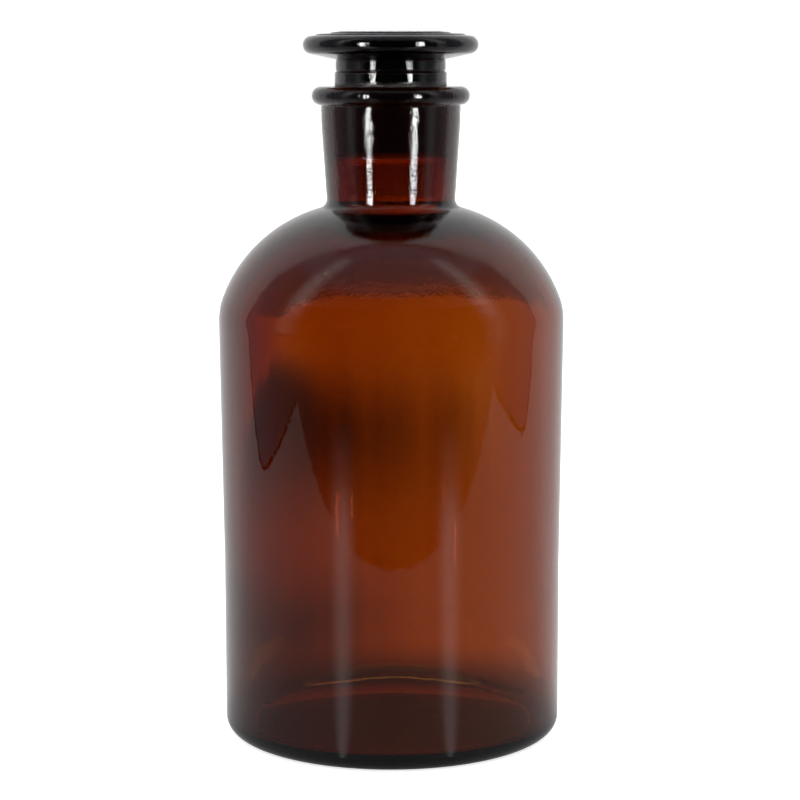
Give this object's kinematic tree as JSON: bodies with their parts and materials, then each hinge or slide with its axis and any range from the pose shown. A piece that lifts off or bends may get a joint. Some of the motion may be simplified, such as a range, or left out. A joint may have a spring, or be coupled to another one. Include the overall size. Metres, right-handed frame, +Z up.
{
  "type": "reagent bottle",
  "caption": "Narrow-mouth amber glass reagent bottle with rounded shoulder, bead lip and solid ground-glass disc-head stopper that lifts out of its conical socket.",
  "frame": {"origin": "centre of the base, in the plane of the bearing ring that the bottle stands on", "axes": "+Z up along the bottle's axis; the part is round, so X and Y are free"},
  "size_m": [0.086, 0.086, 0.1758],
  "materials": {
    "bottle_glass": "polished amber glass, ground inside the neck",
    "stopper_glass": "polished amber glass head, ground plug"
  },
  "bodies": {
    "bottle": {"bottle": "bottle_glass"},
    "stopper": {"stopper": "stopper_glass"}
  },
  "joints": [
    {"name": "stopper_lift", "type": "slide", "parent": "bottle", "child": "stopper", "axis": [0, 0, 1], "range_m": [0, 0.06]}
  ]
}
